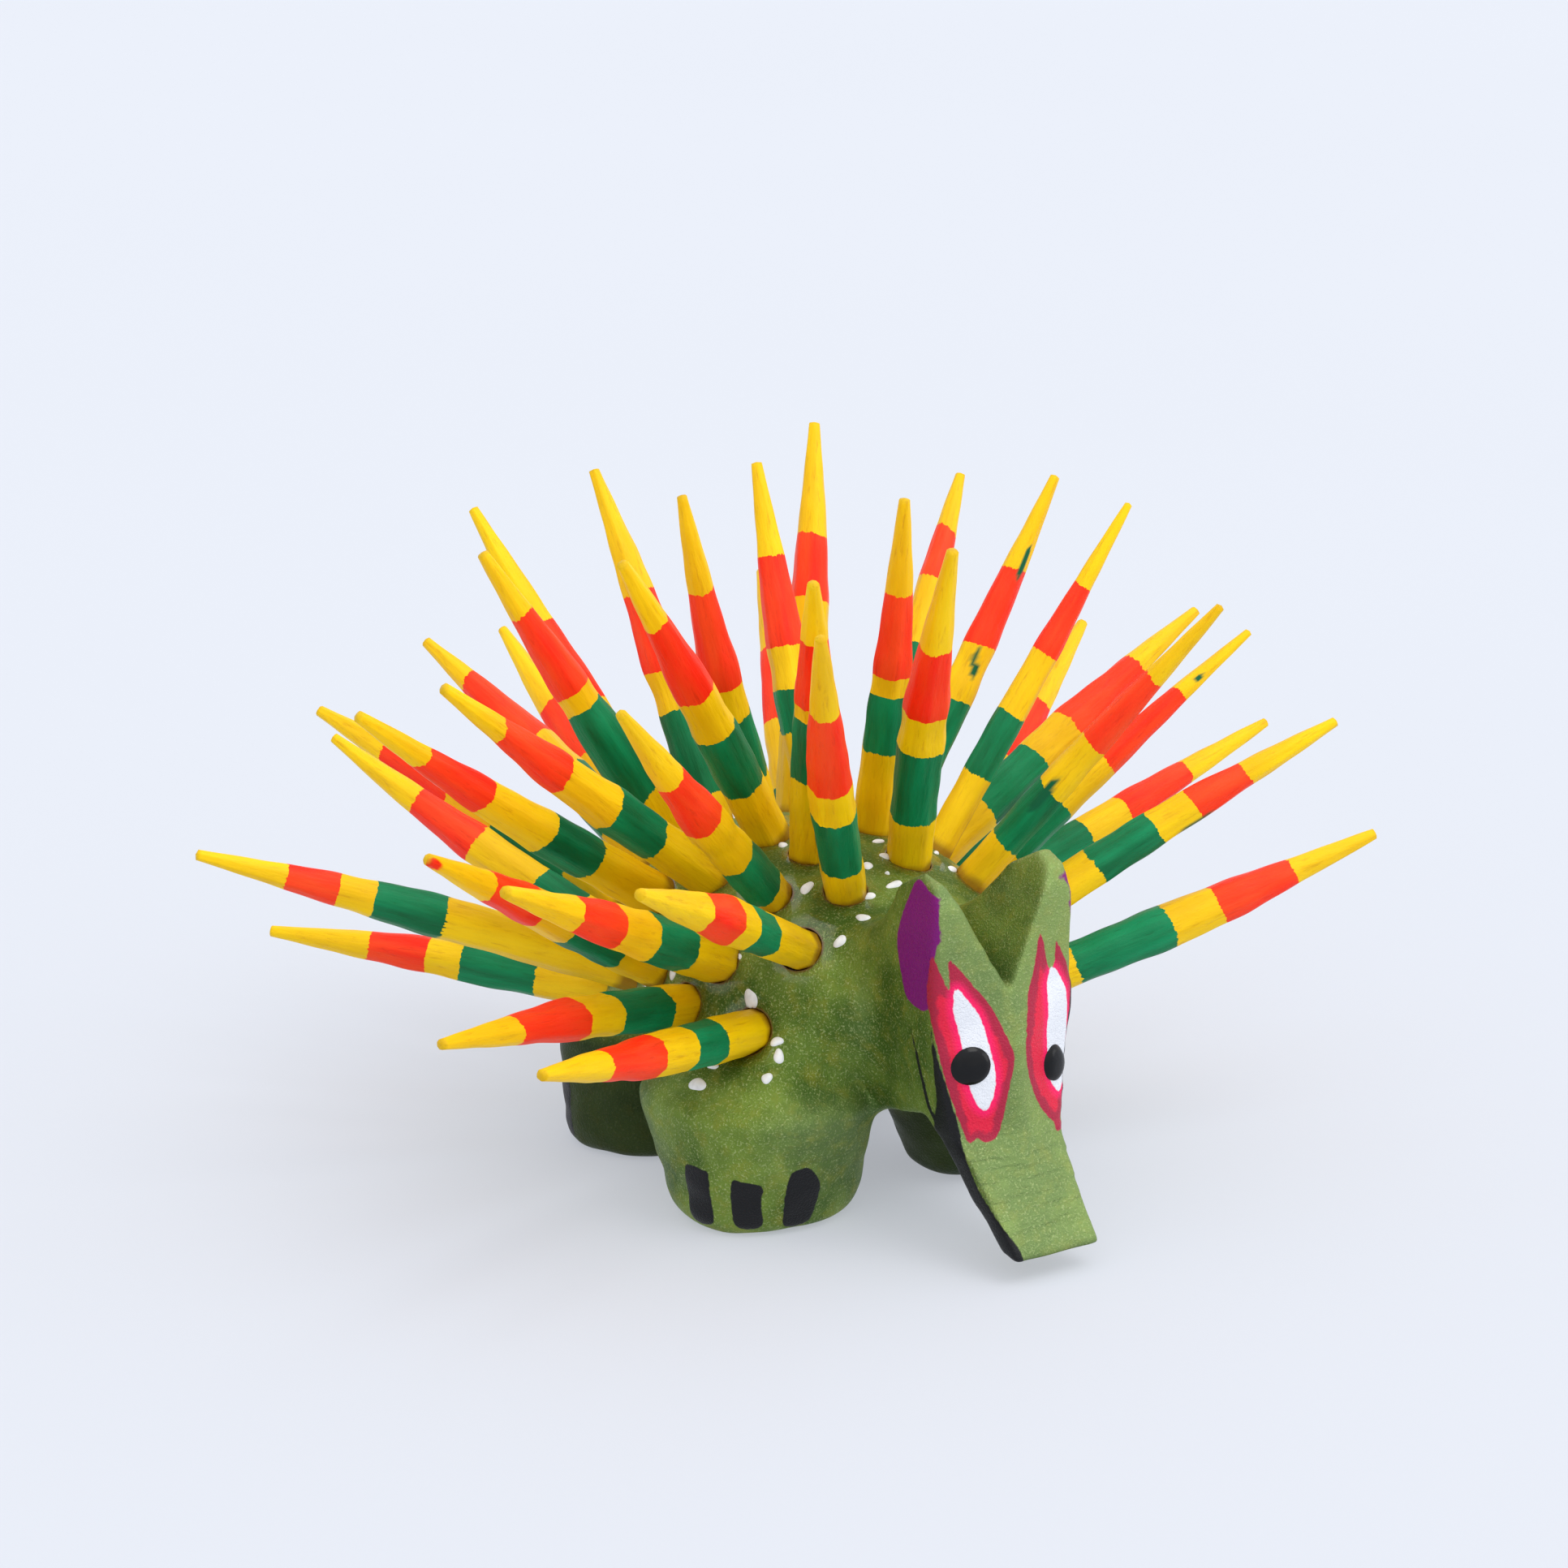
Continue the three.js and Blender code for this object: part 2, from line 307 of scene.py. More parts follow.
def set_values(mesh, name, values, kind="FLOAT"):
    """Stores one number, or one vector, for each point of a mesh."""
    field = {"FLOAT": "value", "FLOAT_VECTOR": "vector"}[kind]
    attribute = mesh.attributes.new(name, kind, "POINT")
    attribute.data.foreach_set(field, np.asarray(values, np.float32).ravel())


def after_modifiers(mesh, *modifiers):
    """The mesh that is left once (type, settings) modifiers have been applied in turn."""
    worker = new_object("worker", mesh)
    for kind, settings in modifiers:
        modifier = worker.modifiers.new(kind, kind)
        for name, value in settings.items():
            setattr(modifier, name, value)
    shaped = worker.evaluated_get(bpy.context.evaluated_depsgraph_get())
    result = bpy.data.meshes.new_from_object(shaped)
    bpy.data.objects.remove(worker)
    return result


def tube_faces(rings, sides, cap_start, cap_end):
    """Quads joining rings of points, and triangles to a point before or after them."""
    faces = []
    for ring in range(rings - 1):
        for side in range(sides):
            turn = (side + 1) % sides
            low, high = ring * sides, (ring + 1) * sides
            faces.append((low + side, low + turn, high + turn, high + side))
    last = (rings - 1) * sides
    for side in range(sides):
        turn = (side + 1) % sides
        if cap_start is not None:
            faces.append((turn, side, cap_start))
        if cap_end is not None:
            faces.append((last + side, last + turn, cap_end))
    return faces


def smooth_step(values, low, high):
    """0 below low, 1 above high and an even slope between."""
    share = np.clip((np.asarray(values) - low) / (high - low), 0, 1)
    return share * share * (3 - 2 * share)


# ---- Materials ----


def colour(code):
    """Linear colour of an sRGB hex code."""
    shares = [int(code[i : i + 2], 16) / 255 for i in (1, 3, 5)]
    linear = [s / 12.92 if s <= 0.04045 else ((s + 0.055) / 1.055) ** 2.4 for s in shares]
    return (*linear, 1.0)


def per_metre(size):
    """Texture scale that gives features of a size in millimetres."""
    return 1 / (size * MM)


def add(tree, kind, sockets=None, **settings):
    """Adds a node, sets its settings, and gives its sockets numbers, colours or links."""
    node = tree.nodes.new(kind)
    for name, value in settings.items():
        setattr(node, name, value)
    for socket, value in (sockets or {}).items():
        if isinstance(value, bpy.types.NodeSocket):
            tree.links.new(value, node.inputs[socket])
        else:
            node.inputs[socket].default_value = value
    return node


def new_material(name):
    """Empty material with its output node: the tree, and the socket that takes the surface."""
    material = bpy.data.materials.new(name)
    material.use_nodes = True
    tree = material.node_tree
    tree.nodes.clear()
    return material, tree, add(tree, "ShaderNodeOutputMaterial").inputs["Surface"]


# The coats brushed over the body, bottom coat first: attribute, colour, roughness.
BODY_COATS = [
    ("purple_coat", "#7a0470", 0.38),
    ("rose_coat", "#dc1a3e", 0.34),
    ("white_coat", "#e2e5ec", 0.36),
    ("black_coat", "#0b0c10", 0.4),
]


# Patterns in the ground coat: name, size in millimetres, detail, roughness.
BODY_NOISES = [
    ("patches", 5, 4, 0.6), ("brush", 1.1, 5, 0.65), ("mica_noise_and_painted_glints", 0.12, 2, 0.7), ("ragged", 0.35, 3, 0.5)
]
# What is stored on the body beside the coats: painted light on the face, painted shade on the
# legs, the knife's planed ripples, the raw wood of the holes and the glue.
BODY_VALUES = ["painted_light_on_face", "painted_shade_on_legs", "planed", "raw_wood", "glue_film"]


def metallic_olive_acrylic():
    """Pearl olive acrylic brushed on sealed copal.

    Mica in the paint makes facets that face the light pale and the rest deep green; its fine
    sparkle is painted into the colour as pale specks, painted glints. The front and top of the face
    are painted paler, as painted light, and the legs low down dark green, as painted shade. Thin
    places show more yellow. Over it come flat acrylic coats, and the sides of the drilled holes stay
    raw brown wood.
    """
    material, tree, surface = new_material("metallic_olive_acrylic")
    place = add(tree, "ShaderNodeTexCoord").outputs["Object"]
    stored = {
        name: add(tree, "ShaderNodeAttribute", attribute_name=name).outputs["Fac"]
        for name in (*[coat[0] for coat in BODY_COATS], *BODY_VALUES)
    }
    pattern = {}
    for name, size, detail, rough in BODY_NOISES:
        sockets = {"Vector": place, "Scale": per_metre(size), "Detail": detail, "Roughness": rough}
        pattern[name] = add(tree, "ShaderNodeTexNoise", sockets).outputs["Fac"]
    tone = add(tree, "ShaderNodeValToRGB", {"Fac": pattern["patches"]})
    tone.color_ramp.elements[0].position = 0.4
    tone.color_ramp.elements[0].color = colour("#42601a")
    tone.color_ramp.elements[1].position = 0.6
    tone.color_ramp.elements[1].color = colour("#718a36")
    streaks = add(
        tree,
        "ShaderNodeMapRange",
        {"Value": pattern["brush"], "From Min": 0.5, "From Max": 0.75, "To Max": 0.5},
    ).outputs["Result"]
    shade = add(
        tree,
        "ShaderNodeMix",
        {0: streaks, 6: tone.outputs["Color"], 7: colour("#97932e")},
        data_type="RGBA",
    ).outputs[2]
    # Painted glints: pale specks painted into the colour for the mica's sparkle.
    painted_glint_specks = add(
        tree,
        "ShaderNodeMapRange",
        {"Value": pattern["mica_noise_and_painted_glints"], "From Min": 0.54, "From Max": 0.7, "To Max": 0.5},
    ).outputs["Result"]
    shade = add(
        tree, "ShaderNodeMix", {0: painted_glint_specks, 6: shade, 7: colour("#c4cf92")}, data_type="RGBA"
    ).outputs[2]
    # Painted light and shade: the face paler where it turns up or to the front, the legs dark green low
    # down.
    for painted_lighting, code, strength in (("painted_light_on_face", "#a4ba7c", 0.34), ("painted_shade_on_legs", "#132006", 0.86)):
        part = {0: stored[painted_lighting], 1: strength}
        amount = add(tree, "ShaderNodeMath", part, operation="MULTIPLY").outputs[0]
        shade = add(
            tree, "ShaderNodeMix", {0: amount, 6: shade, 7: colour(code)}, data_type="RGBA"
        ).outputs[2]
    roughness = add(
        tree,
        "ShaderNodeMapRange",
        {"Value": pattern["brush"], "From Min": 0.3, "From Max": 0.7, "To Min": 0.4, "To Max": 0.55},
    ).outputs["Result"]
    metallic = add(
        tree,
        "ShaderNodeMapRange",
        {"Value": pattern["mica_noise_and_painted_glints"], "From Min": 0.3, "From Max": 0.7, "To Min": 0.35, "To Max": 0.55},
    ).outputs["Result"]

    wander = add(
        tree,
        "ShaderNodeMapRange",
        {"Value": pattern["ragged"], "From Min": 0.3, "From Max": 0.7, "To Min": -0.03, "To Max": 0.03},
    ).outputs["Result"]
    for name, code, coat_roughness in BODY_COATS:
        edge = add(tree, "ShaderNodeMath", {0: stored[name], 1: wander}, operation="ADD").outputs[0]
        covered = add(
            tree, "ShaderNodeMapRange", {"Value": edge, "From Min": -0.03, "From Max": 0.03}
        ).outputs["Result"]
        paint = colour(code)
        if name == "rose_coat":
            # A darker crimson was brushed round the outer edge of the rose.
            swing = {0: pattern["brush"], 1: 0.9}
            swung = add(tree, "ShaderNodeMath", swing, operation="MULTIPLY").outputs[0]
            edge_in = add(tree, "ShaderNodeMath", {0: edge, 1: swung}, operation="SUBTRACT").outputs[0]
            inner = add(
                tree, "ShaderNodeMapRange", {"Value": edge_in, "From Min": -0.05, "From Max": 0.1}
            ).outputs["Result"]
            paint = add(
                tree, "ShaderNodeMix", {0: inner, 6: colour("#a81c3c"), 7: paint}, data_type="RGBA"
            ).outputs[2]
            # Beside the white it was gone over with a hotter pink.
            beside = add(
                tree,
                "ShaderNodeMapRange",
                {"Value": stored["white_coat"], "From Min": -0.5, "From Max": -0.1, "To Max": 0.8},
            ).outputs["Result"]
            paint = add(
                tree, "ShaderNodeMix", {0: beside, 6: paint, 7: colour("#ff1068")}, data_type="RGBA"
            ).outputs[2]
        shade = add(tree, "ShaderNodeMix", {0: covered, 6: shade, 7: paint}, data_type="RGBA").outputs[2]
        roughness = add(tree, "ShaderNodeMix", {0: covered, 2: roughness, 3: coat_roughness}).outputs[0]
        metallic = add(tree, "ShaderNodeMix", {0: covered, 2: metallic, 3: 0.0}).outputs[0]

    hole, glue = stored["raw_wood"], stored["glue_film"]
    shade = add(
        tree, "ShaderNodeMix", {0: hole, 6: shade, 7: colour("#6e4a22")}, data_type="RGBA"
    ).outputs[2]
    metallic = add(tree, "ShaderNodeMix", {0: hole, 2: metallic, 3: 0.0}).outputs[0]
    roughness = add(tree, "ShaderNodeMix", {0: glue, 2: roughness, 3: 0.16}).outputs[0]

    stretched = add(
        tree,
        "ShaderNodeMapping",
        {"Vector": place, "Scale": [per_metre(size) for size in (2.4, 2.4, 0.42)]},
    ).outputs[0]
    ripples = add(tree, "ShaderNodeTexNoise", {"Vector": stretched, "Scale": 1.0, "Detail": 1})
    cut_here = {0: ripples.outputs["Fac"], 1: stored["planed"]}
    chatter = add(tree, "ShaderNodeMath", cut_here, operation="MULTIPLY").outputs[0]
    reliefs = ((chatter, 0.8, 0.3), (pattern["mica_noise_and_painted_glints"], 0.9, 0.09), (pattern["brush"], 0.4, 0.12))
    below = {}
    for height, strength, depth in reliefs:
        sockets = {"Height": height, "Strength": strength, "Distance": depth * MM}
        below = {"Normal": add(tree, "ShaderNodeBump", sockets | below).outputs["Normal"]}
    shader = add(
        tree,
        "ShaderNodeBsdfPrincipled",
        {
            "Base Color": shade,
            "Metallic": metallic,
            "Roughness": roughness,
            "Coat Weight": glue,
            "Coat Roughness": 0.08,
            "Specular IOR Level": 0.25,
            "Normal": below["Normal"],
        },
    ).outputs["BSDF"]
    tree.links.new(shader, surface)
    return material


def banded_quill_acrylic():
    """Acrylic bands brushed round a whittled stick.

    The coat is thin and satin: the wood's fibres show through as fine ridges, the yellow is
    uneven and browner near the hole, and the cut tip shows a little bare wood.
    """
    material, tree, surface = new_material("banded_quill_acrylic")
    along = add(tree, "ShaderNodeAttribute", attribute_name="along_grain").outputs["Vector"]
    fibres = add(
        tree, "ShaderNodeTexNoise", {"Vector": along, "Scale": 4.5, "Detail": 5, "Roughness": 0.66}
    ).outputs["Fac"]
    clouds = add(
        tree, "ShaderNodeTexNoise", {"Vector": along, "Scale": 0.8, "Detail": 3, "Roughness": 0.55}
    ).outputs["Fac"]
    band = add(tree, "ShaderNodeAttribute", attribute_name="band").outputs["Fac"]
    wander = add(
        tree,
        "ShaderNodeMapRange",
        {"Value": fibres, "From Min": 0.3, "From Max": 0.7, "To Min": -0.02, "To Max": 0.02},
    ).outputs["Result"]
    uneven = add(tree, "ShaderNodeMath", {0: band, 1: wander}, operation="ADD").outputs[0]
    share = add(tree, "ShaderNodeMath", {0: uneven, 1: 5.0}, operation="DIVIDE").outputs[0]
    ramps = {"thin": ("#f0bd00", "#ff4a18", "#048d58"), "thick": ("#ffd200", "#ff2804", "#006538")}
    coats = {}
    for name, (yellow, red, green) in ramps.items():
        bands = add(tree, "ShaderNodeValToRGB", {"Fac": share})
        stops = bands.color_ramp
        stops.interpolation = "CONSTANT"
        stops.elements[0].color = colour(yellow)
        stops.elements[1].position = 0.2
        stops.elements[1].color = colour(red)
        for position, code in ((0.4, yellow), (0.6, green), (0.8, yellow)):
            stop = stops.elements.new(position)
            stop.color = colour(code)
        coats[name] = bands.outputs["Color"]
    load = add(
        tree, "ShaderNodeMapRange", {"Value": clouds, "From Min": 0.35, "From Max": 0.65}
    ).outputs["Result"]
    shade = add(
        tree, "ShaderNodeMix", {0: load, 6: coats["thin"], 7: coats["thick"]}, data_type="RGBA"
    ).outputs[2]
    for slip, code in (("green_slip", "#04603c"), ("red_slip", "#f82c06")):
        where = add(tree, "ShaderNodeAttribute", attribute_name=slip).outputs["Fac"]
        shade = add(
            tree, "ShaderNodeMix", {0: where, 6: shade, 7: colour(code)}, data_type="RGBA"
        ).outputs[2]
    worn = add(
        tree, "ShaderNodeMapRange", {"Value": fibres, "From Min": 0.44, "From Max": 0.3, "To Max": 0.35}
    ).outputs["Result"]
    deep = add(
        tree,
        "ShaderNodeMix",
        {0: 1.0, 6: shade, 7: colour("#c08a5a")},
        data_type="RGBA",
        blend_type="MULTIPLY",
    ).outputs[2]
    shade = add(tree, "ShaderNodeMix", {0: worn, 6: shade, 7: deep}, data_type="RGBA").outputs[2]
    stained = add(tree, "ShaderNodeAttribute", attribute_name="stain").outputs["Fac"]
    shade = add(
        tree, "ShaderNodeMix", {0: stained, 6: shade, 7: colour("#8a5a10")}, data_type="RGBA"
    ).outputs[2]
    roughness = add(
        tree,
        "ShaderNodeMapRange",
        {"Value": fibres, "From Min": 0.3, "From Max": 0.7, "To Min": 0.36, "To Max": 0.5},
    ).outputs["Result"]
    ridges = add(
        tree, "ShaderNodeBump", {"Height": fibres, "Strength": 0.7, "Distance": 0.12 * MM}
    ).outputs["Normal"]
    shader = add(
        tree,
        "ShaderNodeBsdfPrincipled",
        {"Base Color": shade, "Roughness": roughness, "Specular IOR Level": 0.2, "Normal": ridges},
    ).outputs["BSDF"]
    tree.links.new(shader, surface)
    return material


def raised_acrylic(name, code, roughness, ridge):
    """Thick acrylic dabbed with a brush: a soft gloss over faint ridges, ridge mm apart."""
    material, tree, surface = new_material(name)
    place = add(tree, "ShaderNodeTexCoord").outputs["Object"]
    ridges = {"Vector": place, "Scale": per_metre(ridge), "Detail": 3}
    dab = add(tree, "ShaderNodeTexNoise", ridges).outputs["Fac"]
    tone = add(
        tree,
        "ShaderNodeMapRange",
        {"Value": dab, "From Min": 0.3, "From Max": 0.7, "To Min": 0.86, "To Max": 1.06},
    ).outputs["Result"]
    shade = add(
        tree, "ShaderNodeVectorMath", {0: colour(code)[:3], "Scale": tone}, operation="SCALE"
    ).outputs[0]
    relief = add(
        tree, "ShaderNodeBump", {"Height": dab, "Strength": 0.5, "Distance": 0.05 * MM}
    ).outputs["Normal"]
    shader = add(
        tree,
        "ShaderNodeBsdfPrincipled",
        {"Base Color": shade, "Roughness": roughness, "Specular IOR Level": 0.25, "Normal": relief},
    ).outputs["BSDF"]
    tree.links.new(shader, surface)
    return material


# ---- The carved block ----


def neighbour_mean(points, edges):
    """Mean of the points that each point shares an edge with."""
    ends = np.concatenate([edges[:, 0], edges[:, 1]])
    others = np.concatenate([edges[:, 1], edges[:, 0]])
    count = np.bincount(ends, minlength=len(points))
    sums = [np.bincount(ends, points[others, k], len(points)) for k in range(3)]
    return np.stack(sums, axis=1) / np.maximum(count, 1)[:, None]


def rub_down(mesh, rounds_shoulders, rounds_body, rounds_head):
    """Softens the knife's edges, as sanding does: most where the legs join, least on the head."""
    points = mesh_points(mesh)
    edges = np.empty(len(mesh.edges) * 2, int)
    mesh.edges.foreach_get("vertices", edges)
    edges = edges.reshape(-1, 2)
    nape = SNOUT_TIP.y + HEAD_DEPTH
    on_head = 1 - smooth_step(points[:, 1], nape - 2, nape + 2)
    low_down = 1 - smooth_step(points[:, 2], THIGH_TOP, THIGH_TOP + 1.5)
    for turn in range(rounds_shoulders):
        keep = on_head if turn >= rounds_head else np.zeros(len(points))
        if turn >= rounds_body:
            keep = np.maximum(keep, low_down)
        step = 0.5 * (1 - keep)[:, None]
        points += step * (neighbour_mean(points, edges) - points)
    return points


def on_face(points):
    """1 on the front of the head, 0 on the rest of the body."""
    nape = SNOUT_TIP.y + HEAD_DEPTH
    return 1 - smooth_step(points[:, 1], nape - 1, nape + 2)


def painted_light_shade_and_planing(points, normals):
    """Painted light on the face, painted shade low on the legs, and where knife ripples are left."""
    nape = SNOUT_TIP.y + HEAD_DEPTH
    up_or_front = smooth_step(normals[:, 2] - normals[:, 1], 0.2, 0.9)
    snout = smooth_step(points[:, 2], 1.2, 3) - smooth_step(points[:, 2], 6, 8)
    hind = smooth_step(points[:, 1], TORSO_CENTRE.y - 1, TORSO_CENTRE.y + 1)
    behind_head = smooth_step(points[:, 1], nape, nape + 1)
    left_leg = smooth_step(points[:, 0], 0, 1) * behind_head
    low = 1 - smooth_step(points[:, 2], THIGH_TOP - 0.5, THIGH_TOP + 1.5)
    return {
        # Painted light: the face is painted paler where it turns up or to the front.
        "painted_light_on_face": on_face(points) * up_or_front,
        "planed": on_face(points) * up_or_front * snout,
        # Painted shade: the hind legs and the left side are painted dark green low down.
        "painted_shade_on_legs": np.maximum(hind, left_leg) * low,
    }


def knife_marks(points):
    """How far the knife left each point above or below an even surface."""
    depths = np.empty(len(points))
    for index, point in enumerate(points):
        p = Vector(point)
        planes = noise.noise(p * 0.17) * 0.35
        cuts = noise.noise(Vector((p.x * 0.5, p.y * 0.5, p.z * 0.9))) * 0.1
        depths[index] = planes + cuts
    return depths * (1 - 0.6 * on_face(points))


def stencil(points, normals, bearing, outline_depth, origin):
    """Stencil coordinates of the points, and by how many millimetres the brush reaches each."""
    facing = np.array(heading(bearing))
    from_origin = points - np.array(origin)
    across = from_origin @ np.array(to_the_right(bearing))
    depth = from_origin @ facing
    turned_to = (normals @ facing - 0.05) * 2
    return np.stack([across, points[:, 2]], axis=1), np.minimum(depth - outline_depth, turned_to)


def rounded(outline, steps=5):
    """A closed outline with curved sides through its points."""
    corners = [Vector(p) for p in outline]
    count = len(corners)
    curve = []
    for index in range(count):
        before, start, end, after = (corners[(index + k) % count] for k in (-1, 0, 1, 2))
        for step in range(steps):
            t = step / steps
            pull = (end - before) * 0.45
            push = (after - start) * 0.45
            curve.append(
                start * (2 * t**3 - 3 * t**2 + 1)
                + end * (3 * t**2 - 2 * t**3)
                + pull * (t**3 - 2 * t**2 + t)
                + push * (t**3 - t**2)
            )
    return curve


def depth_inside(flat, outline):
    """Distance of flat points from an outline's edge, more than 0 inside it."""
    inside = np.zeros(len(flat), bool)
    nearest = np.full(len(flat), 1e9)
    for start, end in zip(outline, outline[1:] + outline[:1]):
        side = end - start
        from_start = flat - np.array(start)
        share = np.clip(from_start @ np.array(side) / max(side.length_squared, 1e-12), 0, 1)
        away = np.linalg.norm(from_start - np.outer(share, np.array(side)), axis=1)
        nearest = np.minimum(nearest, away)
        crosses = (start.y > flat[:, 1]) != (end.y > flat[:, 1])
        height = side.y if abs(side.y) > 1e-9 else 1e-9
        meets = start.x + (flat[:, 1] - start.y) * side.x / height
        inside ^= crosses & (flat[:, 0] < meets)
    return np.where(inside, nearest, -nearest)


def depth_in_stroke(flat, stroke):
    """Distance inside one stroke of a brush that presses harder or lighter as it goes."""
    best = np.full(len(flat), -1e9)
    for (x0, y0, w0), (x1, y1, w1) in zip(stroke, stroke[1:]):
        start, side = np.array((x0, y0)), np.array((x1 - x0, y1 - y0))
        share = np.clip((flat - start) @ side / (side @ side), 0, 1)
        away = np.linalg.norm(flat - start - np.outer(share, side), axis=1)
        best = np.maximum(best, w0 + (w1 - w0) * share - away)
    return best


def brush_coats(points, normals):
    """For each coat, how far inside its painted shapes each point of the body lies."""
    coats = {name: np.full(len(points), -1.0) for name, _, _ in BODY_COATS}

    def lay(coat, bearing, depth, shape, origin=SNOUT_TIP, stroke=False):
        flat, reach = stencil(points, normals, bearing, depth, origin)
        near = np.flatnonzero(reach > -1)
        if stroke:
            inside = depth_in_stroke(flat[near], shape)
        else:
            inside = depth_inside(flat[near], rounded(shape))
        inside = np.minimum(inside, reach[near])
        coats[coat][near] = np.maximum(coats[coat][near], np.clip(inside, -1, 1))

    def mirrored(shape):
        return [(-p[0], *p[1:]) for p in shape]

    eyes = (
        (RIGHT_EYE_BEARING, RIGHT_EYE_SURROUND, RIGHT_EYE_WHITE),
        (LEFT_EYE_BEARING, LEFT_EYE_SURROUND, LEFT_EYE_WHITE),
    )
    for bearing, surround, white in eyes:
        lay("rose_coat", bearing, EYE_DEPTH, surround)
        lay("white_coat", bearing, EYE_DEPTH, white)
    lay("rose_coat", RIGHT_EYE_BEARING, EYE_DEPTH, SPLASH)
    for side, shape in ((-1, mirrored(EAR_PATCH)), (1, EAR_PATCH)):
        lay("purple_coat", 90 * side, EAR_PATCH_DEPTH, shape)
    lay("black_coat", RIGHT_EYE_BEARING, EYE_DEPTH, RIGHT_MOUTH_LINE)
    lay("black_coat", LEFT_EYE_BEARING, EYE_DEPTH, LEFT_MOUTH_LINE)
    for side, shape in ((-1, CHEEK_STROKE), (1, mirrored(CHEEK_STROKE))):
        lay("black_coat", 90 * side, CHEEK_STROKE_DEPTH, shape, stroke=True)

    for foot, sole in SOLES.items():
        side = 1 if "left" in foot else -1
        bearings = FRONT_NAIL_BEARINGS if "front" in foot else HIND_NAIL_BEARINGS
        for bearing, outline in zip(bearings, NAIL_OUTLINES):
            shape = outline if side < 0 else mirrored(outline)
            lay("black_coat", -side * bearing, NAIL_DEPTH, shape, origin=sole)
    return coats


def hole_distance(points):
    """Distance of each point from the wall of the nearest quill's hole."""
    nearest = np.full(len(points), 9.0)
    for quill in QUILLS.values():
        axis = np.array(quill["axis"])
        from_root = points - np.array(quill["root"])
        along = from_root @ axis
        away = np.linalg.norm(from_root - np.outer(along, axis), axis=1)
        near = np.abs(along) < HOLE_REACH
        nearest[near] = np.minimum(nearest[near], away[near] - hole_radius(quill))
    return nearest


def hole_drills():
    """One mesh with a drill along every quill's axis."""
    drills = bmesh.new()
    for quill in QUILLS.values():
        middle = quill["root"] + quill["axis"] * DRILL_OUT
        bmesh.ops.create_cone(
            drills,
            cap_ends=True,
            segments=32,
            radius1=hole_radius(quill),
            radius2=hole_radius(quill),
            depth=DRILL_LENGTH,
            matrix=Matrix.Translation(middle) @ turn_to(quill["axis"]),
        )
    mesh = bpy.data.meshes.new("drills")
    drills.to_mesh(mesh)
    drills.free()
    return mesh


def rough_block():
    """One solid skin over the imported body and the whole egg, with the quills' holes closed."""
    block = bmesh.new()
    block.from_mesh(frame["nodes"]["carved_body"].data)
    bmesh.ops.scale(block, vec=(1 / MM,) * 3, verts=block.verts)
    size = Matrix.Diagonal((*TORSO_HALF, 1))
    bmesh.ops.create_icosphere(
        block, subdivisions=5, radius=1.0, matrix=Matrix.Translation(TORSO_CENTRE) @ size
    )
    rough = bpy.data.meshes.new("rough_block")
    block.to_mesh(rough)
    block.free()
    skin = after_modifiers(rough, ("REMESH", {"mode": "VOXEL", "voxel_size": CARVING_VOXEL}))
    skin.transform(Matrix.Scale(MM, 4))
    return skin


def carve(skin):
    """Rubs a skin down and marks it with the knife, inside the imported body's box.

    The skin is left in millimetres, for the drills.
    """
    points = rub_down(skin, rounds_shoulders=160, rounds_body=45, rounds_head=7)
    skin.vertices.foreach_set("co", (points * MM).ravel())
    skin.update()
    points += point_values(skin, "normal") * knife_marks(points)[:, None]
    skin.vertices.foreach_set("co", points.clip(np.array(BODY_LOW), np.array(BODY_HIGH)).ravel())
    skin.update()


def drill(skin):
    """The skin, taken in millimetres, with a hole for every quill, in metres."""
    drills = new_object("drills", hole_drills())
    drilled = after_modifiers(
        skin, ("BOOLEAN", {"object": drills, "operation": "DIFFERENCE", "solver": "MANIFOLD"})
    )
    bpy.data.objects.remove(drills)
    drilled.transform(Matrix.Scale(MM, 4))
    return drilled


def lay_coats(skin):
    """Stores every coat on the skin, and raises the skin by each coat's thickness."""
    points = mesh_points(skin)
    normals = point_values(skin, "normal")
    coats = brush_coats(points, normals)
    film = sum(PAINT_FILM * smooth_step(depth, -0.1, 0.15) for depth in coats.values())
    points += normals * film[:, None]
    points = points.clip(np.array(BODY_LOW), np.array(BODY_HIGH))
    skin.vertices.foreach_set("co", (points * MM).ravel())
    for name, values in (coats | painted_light_shade_and_planing(points, normals)).items():
        set_values(skin, name, values)
    away = hole_distance(points)
    set_values(skin, "raw_wood", 1 - smooth_step(away, 0.03, 0.09))
    blots = np.array([noise.noise(Vector(p) * 0.7) for p in points])
    set_values(skin, "glue_film", 1 - smooth_step(away + blots * 0.9, 0.3, 0.8))


def carve_body(material):
    """The block: carved, drilled and painted."""
    skin = rough_block()
    carve(skin)
    skin = drill(skin)
    lay_coats(skin)
    skin.polygons.foreach_set("use_smooth", [True] * len(skin.polygons))
    skin.update()
    skin.set_sharp_from_angle(angle=math.radians(50))
    body = new_piece("painted_body", skin, material)
    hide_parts("carved_body")
    return body


# ---- The quills ----

# Slips of the brush on single quills: paint, mm from the tip, degrees round the quill from its
# front right, half length, half width.
SLIP_BEARING = -33
SLIPS = {
    "crest_quill_11": (
        ("green", 5.6, 40, 1.5, 0.4), ("green", 11.9, 0, 0.6, 0.25), ("green", 12.6, 25, 0.5, 0.3)
    ),
    "left_flank_quill_2": (("green", 14.2, -30, 1.2, 0.35),),
    "left_flank_quill_3": (("green", 4.1, -20, 0.3, 0.25),),
    "left_flank_quill_5": (("green", 10.0, 50, 1.3, 0.5),),
    "right_flank_quill_3": (("red", 0.2, 0, 0.7, 1.5), ("red", 9.5, 0, 0.5, 0.4)),
}

